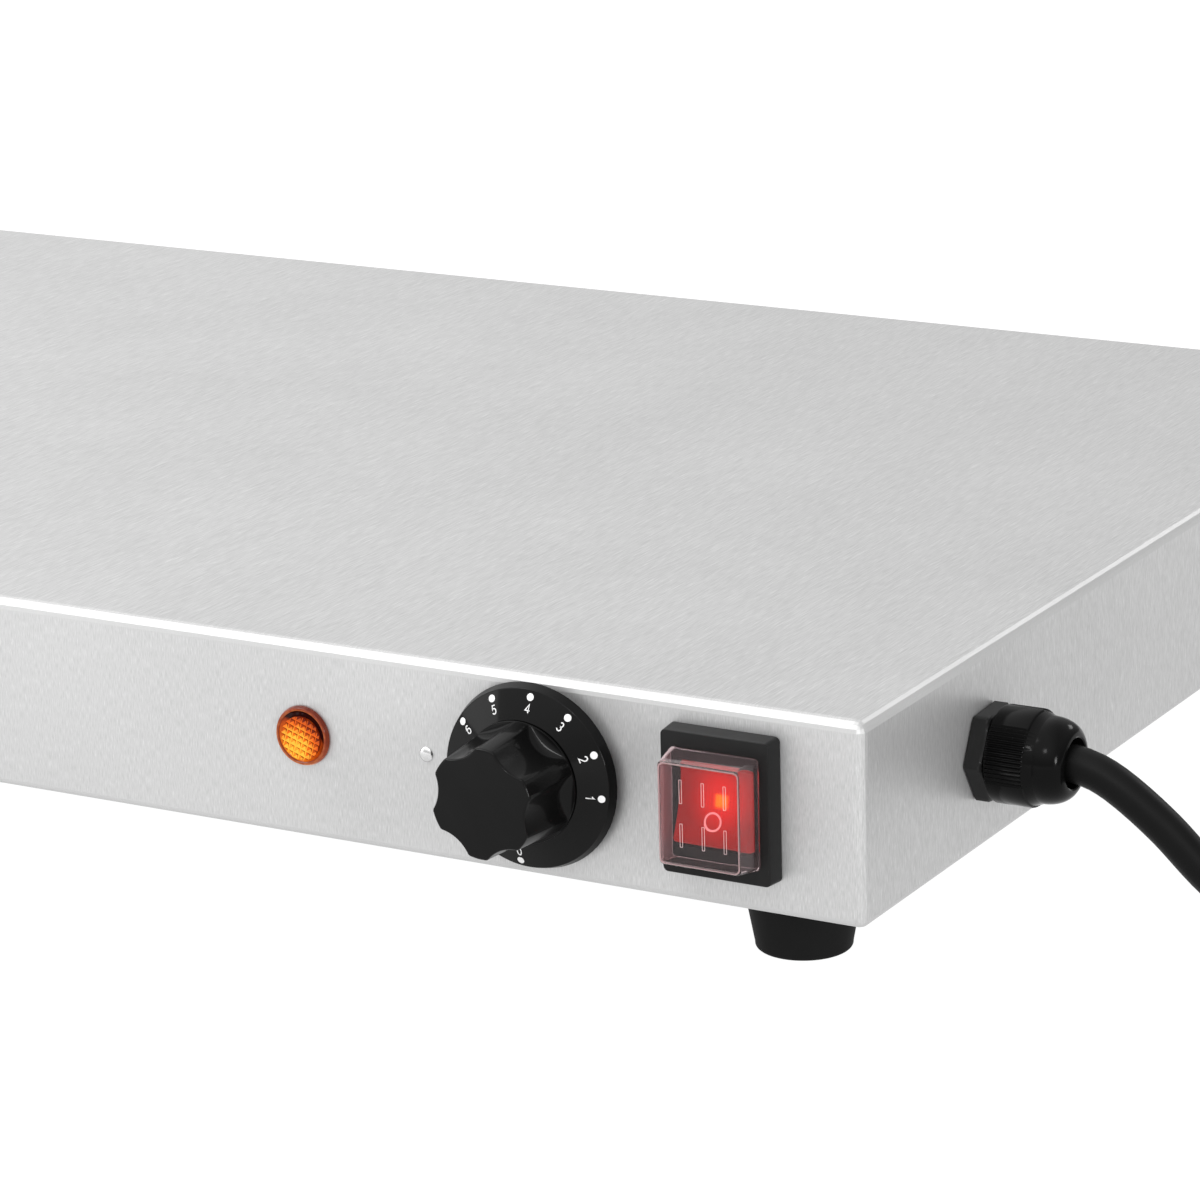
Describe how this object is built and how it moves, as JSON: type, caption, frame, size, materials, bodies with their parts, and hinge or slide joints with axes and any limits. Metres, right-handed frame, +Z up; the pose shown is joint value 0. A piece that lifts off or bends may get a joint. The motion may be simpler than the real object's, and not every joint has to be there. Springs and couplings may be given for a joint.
{
  "type": "electric food warmer tray",
  "caption": "Flat heated stainless tray on rubber feet, with a thermostat dial, a pilot lamp, a covered rocker switch and a supply cord with plug.",
  "frame": {"origin": "middle of the footprint of the tray with its dial and gland, on the surface that the feet stand on; the free cord and plug aren't counted", "axes": "+Z up, +X to the right along the front panel, +Y away from the person at the controls; the front panel faces -Y and the gland side faces +X"},
  "size_m": [0.8837, 0.429, 0.0759],
  "materials": {
    "stainless": "brushed",
    "zinc": "zinc plated",
    "aluminium": "mill",
    "element_steel": "oxidised",
    "brass": "plain",
    "copper": "plain copper",
    "black_plastic": "moulded",
    "grey_nylon": "moulded nylon",
    "black_rubber": "matt",
    "amber": "translucent",
    "red_rocker": "translucent, lit",
    "clear_cover": "clear",
    "mineral_wool": "felted",
    "ceramic_white": "unglazed ceramic",
    "lead_brown": "extruded",
    "lead_blue": "extruded",
    "lead_earth": "extruded"
  },
  "bodies": {
    "tray": {"top_shell": "stainless", "bottom_plate": "zinc", "foot_1": "black_rubber", "foot_2": "black_rubber", "foot_3": "black_rubber", "foot_4": "black_rubber", "foot_screw_1": "zinc", "foot_screw_2": "zinc", "foot_screw_3": "zinc", "foot_screw_4": "zinc", "plate_screw_1": "zinc", "plate_screw_2": "zinc", "plate_screw_3": "zinc", "plate_screw_4": "zinc", "heat_spreader": "aluminium", "heating_element": "element_steel", "clamp_bar_left": "zinc", "clamp_bar_right": "zinc", "clamp_nut_1": "zinc", "clamp_nut_2": "zinc", "clamp_nut_3": "zinc", "clamp_nut_4": "zinc", "insulation_blanket": "mineral_wool", "pilot_lens": "amber", "pilot_body": "black_plastic", "thermostat_body": "ceramic_white", "thermostat_screw_1": "zinc", "thermostat_screw_2": "zinc", "thermostat_capillary": "copper", "switch_bezel": "black_plastic", "switch_cover": "clear_cover", "switch_housing": "black_plastic", "switch_terminal_1": "brass", "switch_terminal_2": "brass", "switch_terminal_3": "brass", "switch_terminal_4": "brass", "gland_body": "grey_nylon", "gland_nut": "grey_nylon", "gland_seal": "black_rubber", "gland_locknut": "grey_nylon", "cord_lead": "black_rubber", "cord_coil": "black_rubber", "cord_tail": "black_rubber", "cord_inner": "black_rubber", "plug_body": "black_rubber", "plug_pin_1": "brass", "plug_pin_2": "brass", "earth_nut": "brass", "lead_live_in": "lead_brown", "lead_neutral_in": "lead_blue", "lead_earth": "lead_earth", "lead_live_out": "lead_brown", "lead_neutral_out": "lead_blue", "lead_thermostat_out": "lead_brown", "pilot_lead_live": "lead_brown", "pilot_lead_neutral": "lead_blue"},
    "dial": {"dial_skirt": "black_plastic", "knob_grip": "black_plastic", "thermostat_shaft": "zinc"},
    "rocker": {"switch_rocker": "red_rocker"}
  },
  "joints": [
    {"name": "dial_turn", "type": "hinge", "parent": "tray", "child": "dial", "pos_m": [0.1933, -0.1855, 0.0501], "axis": [0, -1, 0], "range_deg": [-4.4, 275.6]},
    {"name": "rocker_tilt", "type": "hinge", "parent": "tray", "child": "rocker", "pos_m": [0.2483, -0.1895, 0.0501], "axis": [1, 0, 0], "range_deg": [0, 26]}
  ]
}
